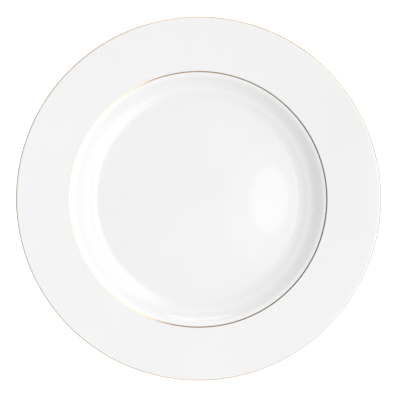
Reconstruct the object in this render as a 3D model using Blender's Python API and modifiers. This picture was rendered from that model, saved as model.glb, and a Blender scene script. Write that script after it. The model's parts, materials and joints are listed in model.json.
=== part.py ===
"""A china dinner plate: one turned bone china body, two coats of glaze and two lines of gold.

The plate stands on z = 0 with its axis on Z. Each piece is a section in the XZ plane, turned once round Z.
A section runs from the middle of the face outwards, over the lip, back along the underside and down the foot
ring, so the china always lies to the right of the way it runs. Lengths are metres and slopes are radians.
"""

import math

import bpy
from mathutils import Vector

PLATE_NAME = "china_dinner_plate"
SIDES = 64  # flat sides in one turn, the same on every piece so that the coats stay parallel

# Coats. Each piece keeps COAT_GAP to the one it lies on.
COAT_GAP = 0.0003
GLAZE = 0.0003
GOLD = 0.0002

# Face, measured on the outside of the glaze.
EDGE_RADIUS = 0.135
FLOOR_HEIGHT = 0.007
FLOOR_RADIUS = 0.0739
WALL_ARC = 0.0216
WALL_SLOPE = math.radians(52)
SHOULDER_ARC = 0.0087
RIM_SLOPE = math.radians(8.4)
LIP_RADIUS = 0.0016

# Underside and foot ring.
WALL_THICKNESS = 0.0042
FOOT_SLOPE = math.radians(22)  # slope of the wall above the outer side of the foot ring
FOOT_OUTER_RADIUS = 0.0828
FOOT_INNER_RADIUS = 0.0788
FOOT_ROUNDING = 0.0004
BARE_HEIGHT = 0.0009  # both glazes stop this far above the table
RECESS_HEIGHT = 0.0026
RECESS_FILLET = 0.0012

# Gold lines.
WELL_LINE_WIDTH = 0.0009
WELL_LINE_SETBACK = 0.0013  # from the outer end of the shoulder's curve to the middle of the line
EDGE_LINE_TOP = math.radians(65)  # upper limit of the gold on the round of the lip, above the horizontal
EDGE_LINE_BOTTOM = math.radians(-45)

WALL_STEPS = 6
SHOULDER_STEPS = 4
LIP_STEPS = 6
FILLET_STEPS = 3

LIP_CENTRE_RADIUS = EDGE_RADIUS - GOLD - COAT_GAP - LIP_RADIUS


def clear_scene():
    for thing in list(bpy.data.objects):
        bpy.data.objects.remove(thing)


def along(slope):
    """Unit vector of a line that rises outwards at a slope."""
    return Vector((math.cos(slope), math.sin(slope)))


def upward(slope):
    """Unit vector square to that line, on its upper side."""
    return Vector((-math.sin(slope), math.cos(slope)))


def slopes(first, last, steps):
    return [first + (last - first) * step / steps for step in range(steps + 1)]


def inset(run, distance):
    """The run moved into the china, with its corners mitred. A negative distance moves it outwards."""
    sides = [(after - before).normalized() for before, after in zip(run, run[1:])]
    inwards = [Vector((side.y, -side.x)) for side in sides]
    pairs = zip([inwards[0], *inwards], [*inwards, inwards[-1]])
    return [point + distance * (one + two) / (1 + one.dot(two)) for point, (one, two) in zip(run, pairs)]


def wall_arc():
    """The hollow curve from the flat floor up to the steepest part of the wall."""
    centre = Vector((FLOOR_RADIUS, FLOOR_HEIGHT + WALL_ARC))
    return [centre - WALL_ARC * upward(slope) for slope in slopes(0, WALL_SLOPE, WALL_STEPS)]


def shoulder_arc():
    """The rounded turn from the wall on to the rim."""
    centre = wall_arc()[-1] - SHOULDER_ARC * upward(WALL_SLOPE)
    turn = slopes(WALL_SLOPE, RIM_SLOPE, SHOULDER_STEPS)
    return [centre + SHOULDER_ARC * upward(slope) for slope in turn]


def lip_centre():
    """The middle of the lip's round, where the straight rim is tangent to it."""
    rim_start = shoulder_arc()[-1] - LIP_RADIUS * upward(RIM_SLOPE)
    rim_length = (LIP_CENTRE_RADIUS - rim_start.x) / math.cos(RIM_SLOPE)
    return rim_start + rim_length * along(RIM_SLOPE)


def lip_arc(radius, first, last, steps):
    return [lip_centre() + radius * upward(slope) for slope in slopes(first, last, steps)]


def thickness_at(radius):
    """Thickness of the finished plate, which thins from the wall out to the lip."""
    share = (radius - FLOOR_RADIUS) / (LIP_CENTRE_RADIUS - FLOOR_RADIUS)
    return WALL_THICKNESS + (2 * LIP_RADIUS - WALL_THICKNESS) * share


def underside_run():
    """The underside of the rim and wall, from beside the lip to above the foot ring."""
    steps = zip(wall_arc(), slopes(0, WALL_SLOPE, WALL_STEPS))
    wall = [point for point, slope in steps if slope >= FOOT_SLOPE]
    rim_end = lip_centre() + LIP_RADIUS * upward(RIM_SLOPE)
    upper = [*wall, *shoulder_arc()[1:], rim_end]
    moved = zip(upper, inset(upper, 1))
    under = [point + thickness_at(point.x) * (away - point) for point, away in moved]
    return under[-2::-1]


def face_coat_run():
    """The outside of the face glaze, from the axis to the outer side of the foot ring."""
    lip = lip_arc(LIP_RADIUS, RIM_SLOPE, RIM_SLOPE - math.pi, LIP_STEPS)
    face = [Vector((0, FLOOR_HEIGHT)), *wall_arc(), *shoulder_arc()[1:]]
    return [*face, *lip, *underside_run(), Vector((FOOT_OUTER_RADIUS, BARE_HEIGHT))]


def base_coat_run():
    """The outside of the base glaze, from the inner side of the foot ring to the axis."""
    centre = Vector((FOOT_INNER_RADIUS - RECESS_FILLET, RECESS_HEIGHT - RECESS_FILLET))
    quarter = [math.radians(90) * step / FILLET_STEPS for step in range(FILLET_STEPS + 1)]
    fillet = [centre + RECESS_FILLET * along(angle) for angle in quarter]
    return [Vector((FOOT_INNER_RADIUS, BARE_HEIGHT)), *fillet, Vector((0, RECESS_HEIGHT))]


def land_run(outer, inner):
    """The bare land of the foot ring, flat on the table and rounded at both sides."""
    return [
        Vector((outer, FOOT_ROUNDING)),
        Vector((outer - FOOT_ROUNDING, 0)),
        Vector((inner + FOOT_ROUNDING, 0)),
        Vector((inner, FOOT_ROUNDING)),
    ]


def bone_china_material():
    return finish("bone_china", (0.83, 0.80, 0.74), 0.75, 0.0)


def clear_glaze_material():
    return finish("clear_glaze", (0.88, 0.88, 0.86), 0.06, 0.0)


def burnished_gold_material():
    return finish("burnished_gold", (0.80, 0.58, 0.34), 0.25, 1.0)


def finish(name, colour, roughness, metallic):
    material = bpy.data.materials.new(name)
    material.use_nodes = True
    shader = material.node_tree.nodes["Principled BSDF"]
    shader.inputs["Base Color"].default_value = (*colour, 1.0)
    shader.inputs["Roughness"].default_value = roughness
    shader.inputs["Metallic"].default_value = metallic
    material.diffuse_color = (*colour, 1.0)
    return material


def turned(name, section, material, collection):
    """A section turned once round Z. One that doesn't end on the axis is a closed loop."""
    joins = [(step, step + 1) for step in range(len(section) - 1)]
    if section[-1].x > 0:
        joins.append((len(section) - 1, 0))
    mesh = bpy.data.meshes.new(name)
    mesh.from_pydata([(point.x, 0.0, point.y) for point in section], joins, [])
    mesh.materials.append(material)
    piece = bpy.data.objects.new(name, mesh)
    collection.objects.link(piece)
    screw = piece.modifiers.new("turn", "SCREW")
    screw.axis = "Z"
    screw.angle = 2 * math.pi
    screw.steps = SIDES
    screw.render_steps = SIDES
    screw.use_merge_vertices = True
    screw.merge_threshold = 0.00001
    screw.use_smooth_shade = True
    return piece


def bone_china_body():
    """The fired china in one piece, bare only on the land of its foot ring."""
    face = inset(face_coat_run(), GLAZE + COAT_GAP)
    base = inset(base_coat_run(), GLAZE + COAT_GAP)
    return [*face, *land_run(face[-1].x, base[0].x), *base]


def face_glaze():
    """The skin of glaze over the face, the lip and the underside."""
    run = face_coat_run()
    return [*run, *reversed(inset(run, GLAZE))]


def base_glaze():
    """The skin of glaze inside the foot ring."""
    run = base_coat_run()
    return [*reversed(inset(run, GLAZE)), *run]


def gold_band(run):
    """A band of gold that lies over a run of the glaze."""
    return [*inset(run, -COAT_GAP - GOLD), *reversed(inset(run, -COAT_GAP))]


def edge_gold_line():
    """The gold over the round of the lip."""
    first = EDGE_LINE_TOP - math.radians(90)
    last = EDGE_LINE_BOTTOM - math.radians(90)
    return gold_band(lip_arc(LIP_RADIUS, first, last, LIP_STEPS))


def well_gold_line():
    """The gold on the shoulder's curve, just inside the rim."""
    centre = shoulder_arc()[-1] - SHOULDER_ARC * upward(RIM_SLOPE)
    middle = RIM_SLOPE + WELL_LINE_SETBACK / SHOULDER_ARC
    half = WELL_LINE_WIDTH / 2 / SHOULDER_ARC
    band = slopes(middle + half, middle - half, 2)
    return gold_band([centre + SHOULDER_ARC * upward(slope) for slope in band])


def build_plate():
    clear_scene()
    collection = bpy.data.collections.new(PLATE_NAME)
    bpy.context.scene.collection.children.link(collection)
    glaze = clear_glaze_material()
    gold = burnished_gold_material()
    turned("bone_china_body", bone_china_body(), bone_china_material(), collection)
    turned("face_glaze", face_glaze(), glaze, collection)
    turned("base_glaze", base_glaze(), glaze, collection)
    turned("edge_gold_line", edge_gold_line(), gold, collection)
    turned("well_gold_line", well_gold_line(), gold, collection)


build_plate()
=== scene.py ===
"""A china dinner plate with two gold lines, turned from one section, in a plain white studio.

The plate stands on z = 0 with its axis on Z. The section is drawn with a pen that keeps the china on its
right. Each piece follows its own stretch of that line, some distance inside or outside it, and is turned
round Z. Lengths are metres, angles are radians.
"""

import json
import math

import bmesh
import bpy
from mathutils import Matrix, Vector


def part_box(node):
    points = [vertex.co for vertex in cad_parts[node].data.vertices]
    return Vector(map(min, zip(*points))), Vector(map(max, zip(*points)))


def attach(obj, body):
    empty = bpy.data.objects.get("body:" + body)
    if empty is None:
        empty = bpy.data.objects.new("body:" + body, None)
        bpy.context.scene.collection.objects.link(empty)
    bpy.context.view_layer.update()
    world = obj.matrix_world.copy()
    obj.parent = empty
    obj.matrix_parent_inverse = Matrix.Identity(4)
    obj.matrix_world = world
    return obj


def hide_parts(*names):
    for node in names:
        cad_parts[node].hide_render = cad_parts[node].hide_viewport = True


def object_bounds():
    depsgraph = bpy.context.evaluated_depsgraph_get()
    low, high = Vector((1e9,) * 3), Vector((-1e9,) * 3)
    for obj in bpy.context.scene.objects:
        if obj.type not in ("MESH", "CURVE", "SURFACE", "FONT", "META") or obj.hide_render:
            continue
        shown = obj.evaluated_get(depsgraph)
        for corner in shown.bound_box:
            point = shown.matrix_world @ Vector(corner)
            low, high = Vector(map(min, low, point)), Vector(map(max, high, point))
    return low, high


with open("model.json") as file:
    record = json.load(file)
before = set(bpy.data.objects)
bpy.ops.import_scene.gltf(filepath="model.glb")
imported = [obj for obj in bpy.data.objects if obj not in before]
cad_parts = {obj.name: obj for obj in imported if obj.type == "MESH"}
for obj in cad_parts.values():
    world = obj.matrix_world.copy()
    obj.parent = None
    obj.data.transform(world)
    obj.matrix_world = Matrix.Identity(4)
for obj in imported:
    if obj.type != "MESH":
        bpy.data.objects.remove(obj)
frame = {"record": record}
cad_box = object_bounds()

MM = 0.001
AXIS = (0.0, 0.0, 1.0)
ORIGIN = (0.0, 0.0, 0.0)

# Where the frame puts the plate's faces.
MOUNTS = {mount["name"]: Vector(mount["pos_m"]) for mount in frame["record"]["mounts"]}
FLOOR_HEIGHT = MOUNTS["well_floor"].z
FOOT_MIDDLE = MOUNTS["foot_ring_land"].x
EDGE_RADIUS = cad_box[1].x
PLATE_HEIGHT = cad_box[1].z
BARE_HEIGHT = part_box("base_glaze")[0].z
RECESS_HEIGHT = 2.6 * MM

# Layers. The gold is drawn a little thicker than it is fired, so that it stands clear of the glaze.
GLAZE = 0.15 * MM
HAIRLINE = 0.01 * MM
GOLD_SKIN = 0.006 * MM
GOLD = 0.02 * MM

# Section.
WELL_LINE_WIDTH = 0.9 * MM
WELL_LINE_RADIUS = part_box("well_gold_line")[1].x - WELL_LINE_WIDTH / 2
WELL_LINE_SETBACK = 1.3 * MM  # from the outer end of the shoulder's curve to the middle of the line
WALL_ARC = 21.6 * MM
WALL_SLOPE = math.radians(52)
SHOULDER_ARC = 8.7 * MM
LIP_ARC = 1.6 * MM
WALL_THICKNESS = 4.2 * MM
UNDER_SHOULDER_ARC = 5.0 * MM
FOOT_SLOPE = math.radians(22.3)
FOOT_TAPER = math.radians(5)
FOOT_WIDTH = 4.0 * MM
FOOT_ROUNDING = 0.45 * MM
FOOT_FILLET = 1.4 * MM
UNDER_TAPER = math.radians(1.2)  # how much steeper the underside of the rim is than its top
FLOOR_SLOPE = math.radians(0.35)  # the floor is dished by this much at its edge
SHOULDER_END = WELL_LINE_RADIUS + WELL_LINE_SETBACK

# Directions that the pen faces where it is square to the axis or parallel with it.
DOWN = math.radians(-90)
INWARDS = math.radians(-180)
UP = math.radians(-270)

# How far the gold goes over the round of the lip and down its outside, from the horizontal.
EDGE_LINE_TOP = math.radians(65)
EDGE_LINE_BOTTOM = math.radians(-45)

# Fineness. A whole turn has TURN_STEPS steps and each curve of the section has its own.
TURN_STEPS = 256
FLOOR_STEPS = 24
WALL_STEPS = 26
SHOULDER_STEPS = 16
LIP_STEPS = 24
UNDERSIDE_STEPS = 12
FILLET_STEPS = 10
RECESS_STEPS = 8
ROUNDING_STEPS = 6
EDGE_LINE_STEPS = 15
WELL_LINE_STEPS = 4
RUN_MARGIN = 0.3 * MM  # length of the short step at each end of a long straight
MERGE_DISTANCE = 0.0001 * MM
CORNER = math.radians(40)  # an edge that turns by more than this stays sharp in the shading

# Camera.
CAMERA_LEAN = math.radians(4.6)  # from straight above, towards the back of the plate
CAMERA_DISTANCE = 0.7723
CAMERA_LENS = 94
CAMERA_SENSOR = 36
CAMERA_TARGET = (0.0010, 0.0007, 0.0215)

# The room. A glow of 1 is white paper in full light. A ramp is the stretch of a direction's height (0 level,
# 1 straight up) over which one tone passes into the next, and CEILING_TURN is a stretch of its x.
SIDE_GLOW = 0.48
END_GLOW = 1.10
UPPER_GLOW = 1.42
UPPER_RAMP = (0.40, 0.60)
CEILING_GLOW = 0.55
CEILING_RAMP = (0.70, 0.86)
DIM_GLOW = 0.22
CEILING_TURN = (-0.48, 0.10)

# The lights. A size is width and height.
KEY_PLACE = (0.915, 0.0, 0.79)
KEY_SIZE = (2.55, 1.59)
KEY_GLOW = 0.88
KEY_TARGET = (0.0, 0.0, 0.06)
OVAL_PLACE = (0.098, -0.0635, 0.789)
OVAL_SIZE = (0.055, 0.095)
OVAL_GLOW = 1.25
HALO_PLACE = (0.095, -0.07, 0.80)
HALO_SIZE = (0.12, 0.17)
HALO_GLOW = 0.41
STRIP_PLACE = (0.0, 1.5, 0.15)
STRIP_SIZE = (0.9, 0.2)
STRIP_GLOW = 3.5
SHEEN_PLACE = (0.42, 0.0, 1.41)
SHEEN_SIZE = (1.5, 0.46)
SHEEN_GLOW = 1.6


class Pen:
    """Draws a section in the XZ plane, with the china on its right, on or inside the line it follows."""

    def __init__(self, at, heading=0.0, inset=0.0):
        self.mesh = bmesh.new()
        self.at = Vector(at)
        self.heading = heading
        self.inset = inset
        self.tip = self.mesh.verts.new(self.inset_point())

    def ahead(self):
        return Vector((math.cos(self.heading), math.sin(self.heading)))

    def right(self):
        return Vector((math.sin(self.heading), -math.cos(self.heading)))

    def inset_point(self):
        point = self.at + self.inset * self.right()
        return (point.x, 0.0, point.y)

    def run(self, length):
        """Draws a straight stretch. A short step at each end of a long one keeps it flat when shaded."""
        margin = RUN_MARGIN if length > 3 * RUN_MARGIN else length / 3
        for step in (margin, length - 2 * margin, margin):
            self.at += step * self.ahead()
            made = bmesh.ops.extrude_vert_indiv(self.mesh, verts=[self.tip])
            self.tip = made["verts"][0]
            self.tip.co = self.inset_point()

    def run_to_radius(self, radius):
        self.run((radius - self.at.x) / math.cos(self.heading))

    def run_to_height(self, height):
        self.run((height - self.at.y) / math.sin(self.heading))

    def bend_to(self, radius, heading, steps):
        """Bends along an arc of the followed line: left, away from the china, where the heading grows."""
        turn = heading - self.heading
        side = -1 if turn > 0 else 1
        centre = self.at + side * radius * self.right()
        spot = (centre.x, 0.0, centre.y)
        made = bmesh.ops.spin(
            self.mesh, geom=[self.tip], cent=spot, axis=(0, 1, 0), angle=-turn, steps=steps
        )
        self.tip = next(item for item in made["geom_last"] if isinstance(item, bmesh.types.BMVert))
        self.heading = heading
        self.at = centre - side * radius * self.right()

    def step_to_inset(self, inset):
        """Changes the inset and leaves the tip where it is, so the followed line moves."""
        self.at += (self.inset - inset) * self.right()
        self.inset = inset


def lip_centre():
    return Vector((EDGE_RADIUS - GOLD_SKIN - GOLD - LIP_ARC, PLATE_HEIGHT - GOLD_SKIN - GOLD - LIP_ARC))


def floor_radius(rim_slope):
    """Where the dished floor meets the wall, worked inwards from the end of the shoulder."""
    over = (WALL_ARC + SHOULDER_ARC) * math.sin(WALL_SLOPE)
    return SHOULDER_END + SHOULDER_ARC * math.sin(rim_slope) - over + WALL_ARC * math.sin(FLOOR_SLOPE)


def shoulder_centre(rim_slope):
    """The middle of the shoulder's round."""
    floor_edge = FLOOR_HEIGHT + floor_radius(rim_slope) * math.tan(FLOOR_SLOPE / 2)
    drop = (WALL_ARC + SHOULDER_ARC) * math.cos(WALL_SLOPE)
    height = floor_edge + WALL_ARC * math.cos(FLOOR_SLOPE) - drop
    return Vector((SHOULDER_END + SHOULDER_ARC * math.sin(rim_slope), height))


def find_rim_slope():
    """Slope of the straight line that touches the rounds of the shoulder and of the lip from above."""
    slope = math.radians(8)
    for _ in range(6):
        between = lip_centre() - shoulder_centre(slope)
        lean = math.asin((SHOULDER_ARC - LIP_ARC) / between.length)
        slope = math.atan2(between.y, between.x) - lean
    return slope


RIM_SLOPE = find_rim_slope()
FLOOR_RADIUS = floor_radius(RIM_SLOPE)


def draw_face(pen):
    """From the middle of the face to the outermost point of the rim's straight top."""
    pen.bend_to(FLOOR_RADIUS / math.sin(FLOOR_SLOPE), FLOOR_SLOPE, FLOOR_STEPS)
    pen.bend_to(WALL_ARC, WALL_SLOPE, WALL_STEPS)
    pen.bend_to(SHOULDER_ARC, RIM_SLOPE, SHOULDER_STEPS)
    pen.run_to_radius(lip_centre().x - LIP_ARC * math.sin(RIM_SLOPE))


def draw_underside(pen):
    """Round the lip, back under the rim and wall, and down the outside of the foot ring to the bare china."""
    pen.bend_to(LIP_ARC, INWARDS + RIM_SLOPE + UNDER_TAPER, LIP_STEPS)
    pen.run_to_radius(SHOULDER_END)
    pen.bend_to(UNDER_SHOULDER_ARC, INWARDS + WALL_SLOPE, UNDERSIDE_STEPS)
    pen.bend_to(WALL_ARC + WALL_THICKNESS, INWARDS + FOOT_SLOPE, UNDERSIDE_STEPS)
    pen.bend_to(FOOT_FILLET, DOWN - FOOT_TAPER, FILLET_STEPS)
    pen.run_to_height(BARE_HEIGHT)


def draw_land(pen):
    """The bare bottom of the foot ring, with both its edges rounded."""
    pen.run_to_height(FOOT_ROUNDING * (1 + math.cos(pen.heading)))
    pen.bend_to(FOOT_ROUNDING, INWARDS, ROUNDING_STEPS)
    pen.run_to_radius(FOOT_MIDDLE - FOOT_WIDTH / 2 + GLAZE + HAIRLINE + FOOT_ROUNDING)
    pen.bend_to(FOOT_ROUNDING, UP, ROUNDING_STEPS)
    pen.run_to_height(BARE_HEIGHT)


def draw_recess(pen):
    """Up the inner side of the foot ring and across the ceiling of the recess to the axis."""
    pen.run_to_height(RECESS_HEIGHT - FOOT_FILLET)
    pen.bend_to(FOOT_FILLET, INWARDS, RECESS_STEPS)
    pen.run_to_radius(0.0)


def turn(pen):
    """Turns what the pen drew round the axis, closes the poles and faces it outwards."""
    mesh = pen.mesh
    lines = [*mesh.verts, *mesh.edges]
    bmesh.ops.spin(
        mesh, geom=lines, cent=ORIGIN, axis=AXIS, angle=2 * math.pi, steps=TURN_STEPS, use_merge=True
    )
    bmesh.ops.remove_doubles(mesh, verts=mesh.verts[:], dist=MERGE_DISTANCE)
    bmesh.ops.recalc_face_normals(mesh, faces=mesh.faces[:])
    return mesh


def piece_from(name, mesh, material, node):
    """A finished piece that stands for a node of the frame, shaded smooth but for its corners."""
    for face in mesh.faces:
        face.smooth = True
    for edge in mesh.edges:
        edge.smooth = edge.calc_face_angle() < CORNER
    data = bpy.data.meshes.new(name)
    mesh.to_mesh(data)
    mesh.free()
    data.materials.append(material)
    piece = bpy.data.objects.new(name, data)
    bpy.context.scene.collection.objects.link(piece)
    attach(piece, "root")
    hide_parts(node)
    return piece


def make_china_body(material):
    pen = Pen((0.0, FLOOR_HEIGHT), 0.0, GLAZE + HAIRLINE)
    draw_face(pen)
    draw_underside(pen)
    pen.step_to_inset(0.0)
    draw_land(pen)
    pen.step_to_inset(GLAZE + HAIRLINE)
    draw_recess(pen)
    return piece_from("china_body", turn(pen), material, "bone_china_body")


def make_face_glaze(material):
    pen = Pen((0.0, FLOOR_HEIGHT))
    draw_face(pen)
    draw_underside(pen)
    mesh = turn(pen)
    bmesh.ops.solidify(mesh, geom=mesh.faces[:], thickness=GLAZE)
    return piece_from("face_glaze_coat", mesh, material, "face_glaze")


def make_base_glaze(material):
    pen = Pen((FOOT_MIDDLE - FOOT_WIDTH / 2, BARE_HEIGHT), UP)
    draw_recess(pen)
    mesh = turn(pen)
    bmesh.ops.solidify(mesh, geom=mesh.faces[:], thickness=GLAZE)
    return piece_from("base_glaze_coat", mesh, material, "base_glaze")


def gold_band(name, centre, arc, first, last, steps, material, node):
    """A band over a round of the glaze, from one slope to another."""
    reach = arc + GOLD_SKIN + GOLD
    pen = Pen(centre + reach * Vector((-math.sin(first), math.cos(first))), first)
    pen.bend_to(reach, last, steps)
    mesh = turn(pen)
    bmesh.ops.solidify(mesh, geom=mesh.faces[:], thickness=GOLD)
    return piece_from(name, mesh, material, node)


def make_edge_gold(material):
    ends = (EDGE_LINE_TOP + DOWN, EDGE_LINE_BOTTOM + DOWN)
    band = (lip_centre(), LIP_ARC, *ends, EDGE_LINE_STEPS)
    return gold_band("edge_gold_band", *band, material, "edge_gold_line")


def make_well_gold(material):
    middle = RIM_SLOPE + WELL_LINE_SETBACK / SHOULDER_ARC
    half = WELL_LINE_WIDTH / 2 / SHOULDER_ARC
    band = (shoulder_centre(RIM_SLOPE), SHOULDER_ARC, middle + half, middle - half, WELL_LINE_STEPS)
    return gold_band("well_gold_band", *band, material, "well_gold_line")


class Signal:
    """A shader socket. Arithmetic on signals that carry numbers adds Math nodes."""

    def __init__(self, paint, socket):
        self.paint = paint
        self.socket = socket

    def math(self, operation, *others):
        values = dict(enumerate((self, *others)))
        return self.paint.node("ShaderNodeMath", {"operation": operation}, values)

    def __add__(self, other):
        return self.math("ADD", other)

    __radd__ = __add__

    def __rsub__(self, other):
        return (self * -1.0) + other

    def __mul__(self, other):
        return self.math("MULTIPLY", other)

    __rmul__ = __mul__

    def __truediv__(self, other):
        return self.math("DIVIDE", other)

    def ramp(self, low, high):
        """0 up to low, 1 from high on, and smooth between them."""
        settings = {"interpolation_type": "SMOOTHSTEP"}
        sockets = {"Value": self, "From Min": low, "From Max": high}
        return self.paint.node("ShaderNodeMapRange", settings, sockets)


class Paint:
    """The nodes of a material, or of the room, under construction."""

    def __init__(self, owner, shader="Principled BSDF", place="Object"):
        owner.use_nodes = True
        self.tree = owner.node_tree
        self.shader = self.tree.nodes[shader]
        self.place = self.node("ShaderNodeTexCoord", {}, {}, place)

    def node(self, kind, settings, sockets, output=0):
        """Adds a node, applies its settings, links or sets its sockets, and gives one of its outputs."""
        node = self.tree.nodes.new(kind)
        for key, value in settings.items():
            setattr(node, key, value)
        for key, value in sockets.items():
            self.feed(node.inputs[key], value)
        return Signal(self, node.outputs[output])

    def feed(self, socket, value):
        if isinstance(value, Signal):
            self.tree.links.new(value.socket, socket)
        else:
            socket.default_value = value

    def set(self, **sockets):
        """Sets or links the shader's own sockets. An underscore stands for a space."""
        for key, value in sockets.items():
            self.feed(self.shader.inputs[key.replace("_", " ")], value)

    def noise(self, scale, detail=2.0, place=None):
        """Soft noise around 0.5; scale is in waves per metre."""
        sockets = {"Vector": place or self.place, "Scale": scale, "Detail": detail, "Roughness": 0.55}
        return self.node("ShaderNodeTexNoise", {}, sockets)

    def blend(self, factor, one, other):
        """A colour between two colours."""
        settings = {"data_type": "RGBA", "clamp_factor": True}
        return self.node("ShaderNodeMix", settings, {0: factor, 6: one, 7: other}, 2)

    def axes(self):
        """The x, y and z of the place."""
        split = self.node("ShaderNodeSeparateXYZ", {}, {"Vector": self.place})
        outputs = split.socket.node.outputs
        return [Signal(self, outputs[index]) for index in range(3)]

    def radius(self):
        x, y, _ = self.axes()
        return (x * x + y * y).math("SQRT")

    def round_the_axis(self, along, across):
        """A place for noise drawn out round the plate: along is waves per radian, across per metre."""
        x, y, z = self.axes()
        radius = self.radius()
        sockets = {"X": x / radius * along, "Y": y / radius * along, "Z": (radius + z) * across}
        return self.node("ShaderNodeCombineXYZ", {}, sockets)

    def bump(self, height):
        """A normal from a height in metres."""
        sockets = {"Strength": 1.0, "Distance": 1.0, "Height": height}
        return self.node("ShaderNodeBump", {}, sockets, "Normal")


def colour(red, green, blue):
    return (red, green, blue, 1.0)


def grey(value):
    return colour(value, value, value)


def glazed_china():
    """White china under a clear, hard gloss. Slow clouds of tone, turning rings and a faint ripple."""
    material = bpy.data.materials.new("glazed_china")
    paint = Paint(material)
    radius = paint.radius()
    clouds = paint.noise(14.0, 3.0).ramp(0.3, 0.7)
    white = paint.blend(clouds, grey(0.799), grey(0.813))
    speck_size = paint.node("ShaderNodeTexVoronoi", {}, {"Vector": paint.place, "Scale": 38.0}, "Distance")
    specks = 1.0 - speck_size.ramp(0.004, 0.009)
    white = paint.blend(specks * 0.25, white, colour(0.46, 0.42, 0.36))
    ripple = paint.noise(70.0, 1.0) * 0.000003
    peel = paint.noise(650.0, 1.0) * 0.0000004
    ring_wave = (radius * (2 * math.pi / 0.0027) + paint.noise(25.0) * 3.0).math("SINE")
    rings = ring_wave * paint.noise(40.0) * 0.0000012
    roughness = paint.noise(55.0, 4.0) * 0.03 + 0.02
    paint.set(Base_Color=white, Roughness=roughness, Normal=paint.bump(ripple + peel + rings))
    paint.set(IOR=1.52)
    return material


def bare_china():
    """Unglazed bone china: matt and slightly warm, with a fine grain and the rings of the grinding stone."""
    material = bpy.data.materials.new("bare_china")
    paint = Paint(material)
    grain = paint.noise(2600.0, 3.0)
    tone = paint.noise(160.0, 4.0).ramp(0.35, 0.75)
    bare = paint.blend(tone, colour(0.79, 0.765, 0.71), colour(0.70, 0.665, 0.60))
    streaks = paint.noise(1.0, 2.0, paint.round_the_axis(60.0, 9000.0))
    bare = paint.blend(streaks.ramp(0.52, 0.68) * 0.35, bare, colour(0.56, 0.53, 0.49))
    height = grain * 0.00002 + streaks * 0.000015
    paint.set(Base_Color=bare, Roughness=grain * 0.15 + 0.68, Normal=paint.bump(height))
    return material


def banded_gold(name, bright, deep):
    """Gold put on with a loaded brush on a turning wheel, then burnished: long streaks round the plate."""
    material = bpy.data.materials.new(name)
    paint = Paint(material)
    streaks = paint.noise(1.0, 3.0, paint.round_the_axis(9.0, 5200.0))
    patches = paint.noise(1.0, 2.0, paint.round_the_axis(3.0, 60.0)).ramp(0.35, 0.7)
    gold = paint.blend(patches, bright, deep)
    roughness = streaks * 0.12 + patches * 0.05 + 0.05
    paint.set(Base_Color=gold, Roughness=roughness, Metallic=1.0, Normal=paint.bump(streaks * 0.0000012))
    return material


def white_floor():
    """A plain white table that is lit a little from within, as a product table is."""
    material = bpy.data.materials.new("white_floor")
    paint = Paint(material)
    paint.set(Base_Color=colour(0.9, 0.9, 0.9), Roughness=0.9, IOR=1.2)
    paint.set(Emission_Color=colour(1.0, 1.0, 1.0), Emission_Strength=0.5)
    return material


def lay_floor(material):
    mesh = bmesh.new()
    bmesh.ops.create_circle(mesh, cap_ends=True, radius=9.0, segments=96)
    data = bpy.data.meshes.new("studio_floor")
    mesh.to_mesh(data)
    mesh.free()
    data.materials.append(material)
    floor = bpy.data.objects.new("studio_floor", data)
    bpy.context.scene.collection.objects.link(floor)


def aim(thing, place, target):
    direction = Vector(target) - Vector(place)
    thing.matrix_world = Matrix.Translation(place) @ direction.to_track_quat("-Z", "Y").to_matrix().to_4x4()


def soft_light(name, place, target, width, height, glow, shape="RECTANGLE"):
    """An area light. It adds its glow to that of the room behind it, and the camera doesn't see it."""
    area = width * height * (math.pi / 4 if shape == "ELLIPSE" else 1.0)
    light = bpy.data.lights.new(name, "AREA")
    light.shape = shape
    light.size = width
    light.size_y = height
    light.energy = glow * math.pi * area
    lamp = bpy.data.objects.new(name, light)
    bpy.context.scene.collection.objects.link(lamp)
    aim(lamp, place, target)
    lamp.visible_camera = False
    return lamp


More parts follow.
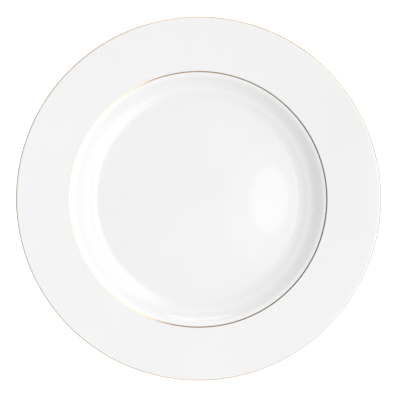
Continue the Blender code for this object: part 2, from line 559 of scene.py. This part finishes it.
def light_room():
    """A pale room: grey beside the plate, lighter before, behind and above it, and dim overhead."""
    world = bpy.data.worlds.new("studio_room")
    room = Paint(world, "Background", "Generated")  # for a room, Generated is the direction looked in
    across, depth, height = room.axes()
    tone = room.blend(depth * depth, grey(SIDE_GLOW), grey(END_GLOW))
    tone = room.blend(height.ramp(*UPPER_RAMP), tone, grey(UPPER_GLOW))
    ceiling = room.blend(across.ramp(*CEILING_TURN), grey(DIM_GLOW), grey(CEILING_GLOW))
    tone = room.blend(height.ramp(*CEILING_RAMP), tone, ceiling)
    room.set(Color=tone)
    bpy.context.scene.world = world


def light_studio():
    """The key panel leans over the plate from the right. The others are there for their reflections."""
    soft_light("key_panel", KEY_PLACE, KEY_TARGET, *KEY_SIZE, KEY_GLOW)
    soft_light("back_strip", STRIP_PLACE, (0.0, 0.0, STRIP_PLACE[2]), *STRIP_SIZE, STRIP_GLOW)
    soft_light("oval_lamp", OVAL_PLACE, (*OVAL_PLACE[:2], 0.0), *OVAL_SIZE, OVAL_GLOW, "ELLIPSE")
    soft_light("halo_lamp", HALO_PLACE, (*HALO_PLACE[:2], 0.0), *HALO_SIZE, HALO_GLOW, "ELLIPSE")
    sheen = soft_light("sheen_strip", SHEEN_PLACE, KEY_TARGET, *SHEEN_SIZE, SHEEN_GLOW)
    sheen.visible_diffuse = False
    light_room()


def set_camera():
    """Almost straight above the plate."""
    data = bpy.data.cameras.new("camera")
    data.lens = CAMERA_LENS
    data.sensor_width = CAMERA_SENSOR
    camera = bpy.data.objects.new("camera", data)
    bpy.context.scene.collection.objects.link(camera)
    target = Vector(CAMERA_TARGET)
    away = Vector((0.0, math.sin(CAMERA_LEAN), math.cos(CAMERA_LEAN)))
    place = Matrix.Translation(target + CAMERA_DISTANCE * away)
    camera.matrix_world = place @ Matrix.Rotation(-CAMERA_LEAN, 4, "X")
    bpy.context.scene.camera = camera


def make_plate():
    glaze = glazed_china()
    make_china_body(bare_china())
    make_face_glaze(glaze)
    make_base_glaze(glaze)
    # The edge band's gold is darker than the well line's. This is painted shade for the darker look of the
    # line on the lip; both lines are the same gold.
    make_edge_gold(banded_gold("edge_gold", colour(0.56, 0.42, 0.30), colour(0.44, 0.32, 0.22)))
    make_well_gold(banded_gold("well_gold", colour(0.68, 0.52, 0.37), colour(0.58, 0.43, 0.29)))


make_plate()
lay_floor(white_floor())
light_studio()
set_camera()
bpy.context.scene.view_settings.view_transform = "Standard"
